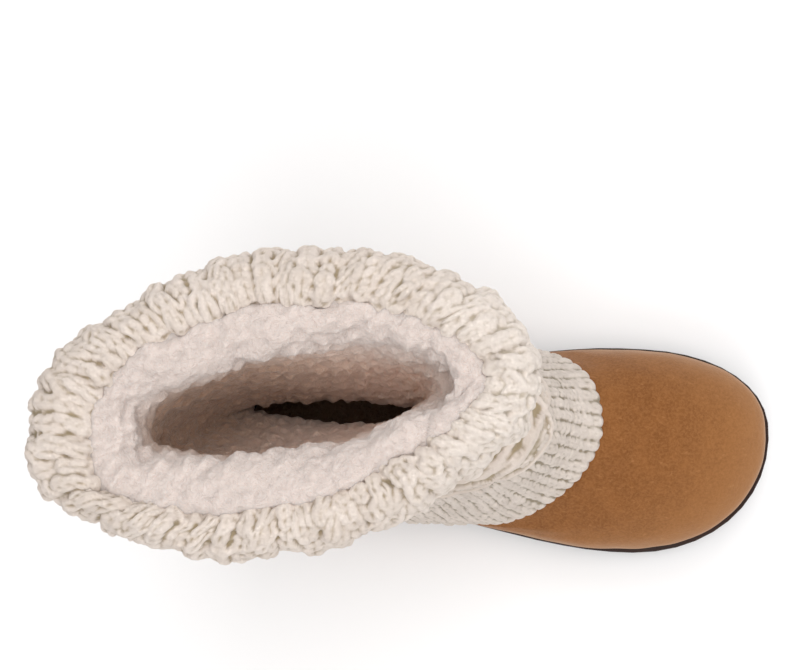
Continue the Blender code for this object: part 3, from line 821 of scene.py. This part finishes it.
def knit_band(skin, columns, low, high, row_step, wale, thick, fat=1.0, cable_every=0, loose=1.0):
    """Dabs of columns of knit stitches, with a groove of purl bars after each column. Fat legs
    close up and read as one ridge. Loose knit is less regular: each stitch is off by a share of
    its own size. One column in so many can be a cable, whose two strands wind round each other.
    """
    pitch = skin.girth / columns
    rows = np.arange(low, high, row_step)
    c, r = (a.ravel() for a in np.meshgrid(np.arange(columns), np.arange(len(rows))))
    count = len(c)
    centre = (c + 0.5) * pitch
    height = low + (r + 0.5) * row_step + jitter(count, row_step * 0.07 * loose)
    middles = skin.place(centre / skin.girth, height / skin.height, np.zeros(count))
    drift = waves(middles, 0.034, 51) * loose
    centre = centre + pitch * (0.07 * drift + jitter(count, 0.02 * loose))
    tall = row_step * (1.08 + jitter(count, 0.08 * loose))
    plump = thick * (1 + jitter(count, 0.08 * loose))
    sway = jitter(count, 0.07 * loose) + 0.14 * drift
    rise = thick * (0.12 * drift + jitter(count, 0.08 * loose))
    wide = pitch * wale * (1 + jitter(count, 0.06 * loose))
    leg = LEG * np.array([1, 1, 1, fat])
    dabs = []
    cabled = c % cable_every == 0 if cable_every else np.zeros(count, bool)
    for side in (-1, 1):
        k = np.flatnonzero(cabled)
        phase = 2 * math.pi * r[k] / CABLE_ROWS + c[k]
        x = centre[k] + np.sin(phase) * side * pitch * wale * 0.30
        lean, over = -np.cos(phase) * side * 0.55, np.cos(phase) * side * thick * 0.40
        for flip in (False, True):
            dabs.append(lay(leg, x, height[k], wide=wide[k] * 0.80, tall=tall[k] * 1.3,
                            thick=plump[k] * 1.05, turn=lean, lift=rise[k] + over, flip=flip))
    k = np.flatnonzero(~cabled)
    for flip in (False, True):
        lean = sway[k] + (LEG_LEAN if flip else -LEG_LEAN)
        dabs.append(lay(leg, centre[k], height[k], wide=wide[k], tall=tall[k], thick=plump[k],
                        turn=lean, lift=rise[k], flip=flip))
    groove = pitch * (1 - wale)
    dabs.append(lay(BAR, centre + 0.5 * pitch, height, wide=row_step * 0.80, tall=groove * 1.5,
                    thick=thick * 0.60, turn=math.pi / 2 + jitter(count, 0.25 * loose),
                    lift=-thick * 0.45))
    return dabs


# %% The relief
def blur(field):
    """Each value blended with its neighbours. The field closes round the boot."""
    tall = np.pad(field, ((1, 1), (0, 0)), mode="edge")
    field = (tall[:-2] + 2 * tall[1:-1] + tall[2:]) / 4
    return (np.roll(field, 1, axis=1) + 2 * field + np.roll(field, -1, axis=1)) / 4


DAB_POWER = 0.55  # a dab's section: 0.5 is round, and 1 is a pointed arch
BLURRED = 0.60  # the share of the blurred relief, which rounds the steps between dabs
GROOVE_DEPTH = 0.00035


def relief(name, skin, low, high, step, dabs, ground, lift, low_scallops=(0, 0),
           high_scallops=(0, 0)):
    """A knitted sheet on a stretch of the skin. Scallops are a count and a depth for an edge."""
    dabs = np.concatenate(dabs)
    turns, rows = round(skin.girth / step), round((high - low) / step) + 1
    across, up = skin.girth / turns, (high - low) / (rows - 1)
    share, level = np.arange(turns) / turns, np.linspace(0, 1, rows)[:, None]
    height = low + (high - low) * level + 0 * share
    rounding = np.ones_like(height)
    # The rows bend to the scallops at the edges, and the sheet thins out there.
    edges = ((low_scallops, -1, level), (high_scallops, 1, 1 - level))
    for (count, size), sign, from_edge in edges:
        from_edge = from_edge * (high - low)
        wave = np.abs(np.sin(math.pi * count * share)) ** 0.8 * size
        height = height + sign * wave * (1 - ease(from_edge / 0.006))
        rounding = rounding * np.sqrt(1 - (1 - np.clip(from_edge / 0.0022, 0, 1)) ** 2)

    # Each dab raises the cells within its radius, and the highest dab of a cell wins.
    n, m = (math.ceil(dabs[:, 3].max() / size) for size in (across, up))
    i = np.round(dabs[:, 0] / across).astype(int)[:, None, None] + np.arange(-n, n + 1)
    k = np.round((dabs[:, 1] - low) / up).astype(int)[:, None, None]
    i, k = np.broadcast_arrays(i, k + np.arange(-m - 2, m + 3)[:, None])
    x, y, z, wide, thick, tone = (v[:, None, None] for v in dabs.T)
    near = ((i * across - x) ** 2 + (height[k.clip(0, rows - 1), i % turns] - y) ** 2) / wide**2
    within = (near < 1) & (k >= 0) & (k < rows)
    top = (z + thick * (1 - np.minimum(near, 1)) ** DAB_POWER)[within]
    cell, shade = (k * turns + i % turns)[within], np.broadcast_to(tone, near.shape)[within]
    order = np.argsort(top, kind="stable")  # so the last one written to a cell is the highest
    out, tones = np.full(rows * turns, ground), np.full(rows * turns, 0.5)
    out[cell[order]], tones[cell[order]] = top[order], shade[order]
    out = np.maximum(out, ground).reshape(rows, turns)

    # Steps between dabs are rounded, and the wool gets a little unevenness of its own.
    out = (1 - BLURRED) * out + BLURRED * blur(out)
    angle = 2 * math.pi * share
    flat = np.broadcast_arrays(np.cos(angle), np.sin(angle), height * 2 * math.pi / skin.girth)
    flat = np.stack(flat, -1) * skin.girth / (2 * math.pi)
    out = out + 0.00017 * waves(flat, 0.0028, 71) + 0.00024 * waves(flat, 0.0090, 72)
    # The groove and depth values say where the yarn's finish paints shade.
    wide_blur = blur(blur(blur(out)))
    groove = np.clip((wide_blur - out) / GROOVE_DEPTH, 0, 1)
    depth = np.clip((out - ground) / (out.max() - ground), 0, 1)
    points = skin.place(share + 0 * height, height / skin.height, (out + lift) * rounding)
    tone = blur(tones.reshape(rows, turns))
    return make_mesh(name, points, groove=groove, tone=tone, depth=depth)


# %% Yarn finish
# The second pale tone is painted light for the front of the cuff.
FIBRE_PALE, FRONT_LIGHT_PALE = (0.93, 0.85, 0.78), (0.96, 0.88, 0.80)


def yarn_look(name, light, dark, crease, deep, brushed_nap_and_front_light=0.0):
    """Brushed wool. Each strand has its own tone, loose fibres cross it, and the gaps get painted
    shade, darker and
    warmer. Towards the toe it can get paler: painted light on the front.
    """
    look = Look(name, Roughness=0.95, Sheen_Weight=0.2, Sheen_Roughness=0.5)
    look.shader.inputs["Specular IOR Level"].default_value = 0.12
    fibre = look.noise(0.0012, 4.0, 0.75, warp=1.2)
    patchy = look.noise(0.020, 2.0)
    strand = patchy + look.attribute("tone") * 0.5 - 0.25
    tone = look.blend(look.step(strand, 0.25, 0.75), dark, light)
    tone = look.blend(look.step(fibre, 0.60, 0.36) * 0.45, tone, dark)
    tone = look.blend(look.step(fibre, 0.58, 0.72) * 0.55, tone, FIBRE_PALE)
    # Painted shade: the grooves between strands and the bottom of the relief are darkened.
    shaded = look.attribute("groove") * look.step(look.noise(0.0075, 2.0) + fibre * 0.4, 0.42, 0.80)
    tone = look.blend(shaded, tone, crease)
    tone = look.blend(look.step(look.attribute("depth"), 0.26, 0.02), tone, deep)
    x = look.node("ShaderNodeSeparateXYZ", None, {"Vector": look.here})
    # Painted light: paler towards the toe, by the given share.
    look.wire(Base_Color=look.blend(look.step(x, 0.055, 0.115) * brushed_nap_and_front_light, tone, FRONT_LIGHT_PALE))
    look.wire(Normal=look.bump(fibre + look.noise(0.0032, 2.0) * 0.8, 0.0013, 0.9))
    return look.material


# Strand light and dark, then the painted shade of the grooves and of the relief's bottom.
YARN_TONES = ((0.880, 0.775, 0.697), (0.795, 0.690, 0.608), (0.43, 0.33, 0.225), (0.42, 0.33, 0.21))
# The rib's tones are the same yarn made darker and greyer: painted shade on the rib at the foot.
SHADED_RIB_TONES = ((0.800, 0.708, 0.636), (0.705, 0.618, 0.548), (0.40, 0.335, 0.26), (0.34, 0.28, 0.20))
yarn = yarn_look("ivory_yarn", *YARN_TONES)
cuff_yarn = yarn_look("cuff_yarn", *YARN_TONES, brushed_nap_and_front_light=0.40)
shaded_rib_yarn = yarn_look("shaded_rib_yarn", *SHADED_RIB_TONES)

# %% [markdown]
# ## Knitted shaft
# The shaft has four bands. The hem is a fine rib that grips the foot, ending in small scallops.
# Above it long loops lie sideways and then a few long floats of yarn. From there the chunky wales
# run up to the cuff. At the front of the ankle the knit folds softly.

# %% Folds in the shaft
shaft_grid = shaft_skin.grid
rows_up = np.linspace(0, shaft_length, len(shaft_grid))[:, None]
front_mask = np.clip(np.cos(2 * math.pi * round_share), 0, 1) ** 1.5
back_mask = np.clip(-np.cos(2 * math.pi * round_share), 0, 1) ** 2
wobble = 0.0012 * waves(shaft_grid, 0.050, 31)
FOLD_STEP = 0.020
phase = rows_up / FOLD_STEP * 2 * math.pi + 1.1 * np.sin(4 * math.pi * round_share)
ruck = (0.0018 * front_mask + 0.0008 * back_mask) * (0.6 + np.sin(phase))
ruck = ruck * ease((rows_up - 0.032) / 0.012) * ease((0.125 - rows_up) / 0.02)
softness = wobble * ease(rows_up / 0.02) + ruck
soft_skin = Skin(shaft_grid + shaft_skin.normals * softness[..., None])
print("folds of the knit up to", round(softness.max(), 4))

# %% Rib
RIB_LENGTH = 0.040
RIBS = 74
rib = knit_band(soft_skin, RIBS, -0.0010, RIB_LENGTH, row_step=0.0036, wale=0.70, thick=0.0011,
                fat=1.25, loose=1.6)
rib_piece = relief("rib_stitches", soft_skin, 0.0, RIB_LENGTH + 0.0035, step=0.00055, dabs=rib,
                   ground=0.0, lift=GAP + 0.0016, low_scallops=(RIBS, 0.0008))
dress(rib_piece, "knit", shaded_rib_yarn, "shaft")

# %% Long loops, floats and chunky wales
LOOPS, RUNGS, FLOATS, FLOAT_ROWS = 9, 124, 13, 4
SHAFT_WALES = 48
SIDEWAYS = -math.pi / 2
LOOP_AT, FLOATS_AT = RIB_LENGTH + 0.0036, RIB_LENGTH + 0.0098
loop_run, float_run = soft_skin.girth / LOOPS, soft_skin.girth / FLOATS
c = np.arange(LOOPS) * loop_run - 0.016  # one loop lies at the front, towards the outer side
shaft_knit = [lay(SIDE, c, LOOP_AT, wide=0.0078, tall=loop_run * 0.49, thick=0.0020, turn=SIDEWAYS,
                  lift=0.0007, flip=flip) for flip in (False, True)]
c = np.arange(RUNGS) * soft_skin.girth / RUNGS
shaft_knit.append(lay(BAR, c, LOOP_AT, wide=0.0050, tall=0.0060, thick=0.0009,
                      turn=jitter(RUNGS, 0.35), lift=-0.0004))
for n in range(FLOAT_ROWS):
    c = (np.arange(FLOATS) + 0.37 * n) * soft_skin.girth / FLOATS + jitter(FLOATS, 0.002)
    r = FLOATS_AT + 0.0033 * n + jitter(FLOATS, 0.0004)
    shaft_knit.append(lay(LONG, c, r, wide=0.0044, tall=float_run * 0.62, thick=0.0017,
                          turn=SIDEWAYS + jitter(FLOATS, 0.035), lift=0.0003 * n))
shaft_knit += knit_band(soft_skin, SHAFT_WALES, RIB_LENGTH + 0.0220, shaft_length - 0.028,
                        row_step=0.0046, wale=0.74, thick=0.0018, cable_every=3)
shaft_piece = relief("shaft_stitches", soft_skin, RIB_LENGTH - 0.0015, shaft_length - 0.030,
                     step=0.00078, dabs=shaft_knit, ground=0.0, lift=GAP + 0.0013)
dress(shaft_piece, "knit", yarn)

# %% [markdown]
# ## Cuff
# The cuff is the shaft's own knit, thick and turned down over itself. Its section is the source's:
# out of the mouth, over the crown and down the outside. The wales run over it like spokes, so from
# above it looks like a ring of plump loops. A chain of bound-off stitches edges it at the fleece.

# %% The shaft at any height
top_ring = boot_rings[-1]
upper_rows = np.linspace(boot_path[ANKLE], top_at, 60)
shaft_heights = hermite(boot_path[ANKLE:], boot_rings[ANKLE:], upper_rows)


def shaft_ring(drop):
    """The shaft's surface at a drop below its top."""
    ring = np.empty_like(top_ring)
    for n in range(TURNS):
        z = top_ring[n, 2] - drop
        for axis in range(3):
            ring[n, axis] = np.interp(z, shaft_heights[:, n, 2], shaft_heights[:, n, axis])
    return ring


# %% The cuff's section
WALES = 54
CUFF_ROWS = 90
clear = GAP + KNIT_WALL + GAP
behind = np.clip(-np.cos(BEARINGS), 0, 1) ** 6
flare = CUFF_FLARE * (1 + CUFF_LEAN * behind + CUFF_SWAY * np.sin(BEARINGS))
flare = flare - CUFF_TUCK * tucked
reach = clear + flare + CUFF_THICKNESS
hem_drop = CUFF_DEPTH - CROWN_RISE
low_ring, middle_ring = shaft_ring(hem_drop), shaft_ring(hem_drop / 2)
section = [moved(top_ring, -0.0008 + 0.0036 * tucked, top_ring[:, 2] + 0.0030),
           moved(top_ring, 0.0016 + 0.0030 * tucked, top_ring[:, 2] + CROWN_RISE * 0.72)]
crown_foot = np.maximum(top_ring[:, 2], SHAFT_HEIGHT)
for share, rise in CUFF_CROWN:
    section.append(moved(top_ring, reach * share, crown_foot + CROWN_RISE * rise))
section.append(moved(middle_ring, reach + flare * 0.3))
for inwards, fall in CUFF_HEM:
    section.append(moved(low_ring, reach * CUFF_EDGE - CUFF_THICKNESS * inwards,
                         low_ring[:, 2] - CUFF_THICKNESS * fall))
section = np.array(section)
print("cuff's section", len(section), "rings, flare up to", round(flare.max(), 4))

# %% The cuff's skin
section_path = spaced(section)
cuff_grid = hermite(section_path, section, np.linspace(0, section_path[-1], CUFF_ROWS))
cuff_grid = even(cuff_grid[::-1])
lumps = 0.0012 * waves(cuff_grid, 0.030, 41) + 0.0005 * waves(cuff_grid, 0.014, 42)
lumps += 0.0008 * np.sin(2 * math.pi * 33 * round_share + 2.2 * waves(cuff_grid, 0.05, 43))
# Each wale ends in a plump tip.
to_edge = (section_path[-1] * (1 - np.linspace(0, 1, CUFF_ROWS)))[:, None]
lumps += 0.0018 * np.abs(np.sin(math.pi * WALES * round_share)) ** 0.8 * (1 - ease(to_edge / 0.010))
cuff_skin = Skin(cuff_grid + Skin(cuff_grid).normals * lumps[..., None])
print("cuff skin: girth", round(cuff_skin.girth, 4), "height", round(cuff_skin.height, 4))

# %% The cuff's stitches
girth, height = cuff_skin.girth, cuff_skin.height
cuff_knit = knit_band(cuff_skin, WALES, 0.0, height - 0.004, row_step=0.0050, wale=0.78,
                      thick=0.0018, fat=1.05, cable_every=3, loose=1.8)
STRAYS, BOUND_OFF = 260, 72
c, r = rng.uniform(0, girth, STRAYS), rng.uniform(0.004, height - 0.008, STRAYS)
cuff_knit.append(lay(LEG, c, r, wide=0.0062, tall=0.0080, thick=0.0017,
                     turn=rng.uniform(-0.9, 0.9, STRAYS), lift=0.0006))
middles = (np.arange(BOUND_OFF) + 0.5) * girth / BOUND_OFF
for flip in (False, True):
    c, r = middles + jitter(BOUND_OFF, 0.0006), height - 0.0020 + jitter(BOUND_OFF, 0.0004)
    cuff_knit.append(lay(LEG, c, r, wide=0.0062, tall=girth / BOUND_OFF, thick=0.0019,
                         turn=SIDEWAYS + jitter(BOUND_OFF, 0.25), flip=flip))
cuff_piece = relief("cuff_stitches", cuff_skin, 0.0, height, step=0.00064, dabs=cuff_knit,
                    ground=-0.0003, lift=-0.0010, high_scallops=(BOUND_OFF, 0.0012))
dress(cuff_piece, "knit", cuff_yarn, "cuff")
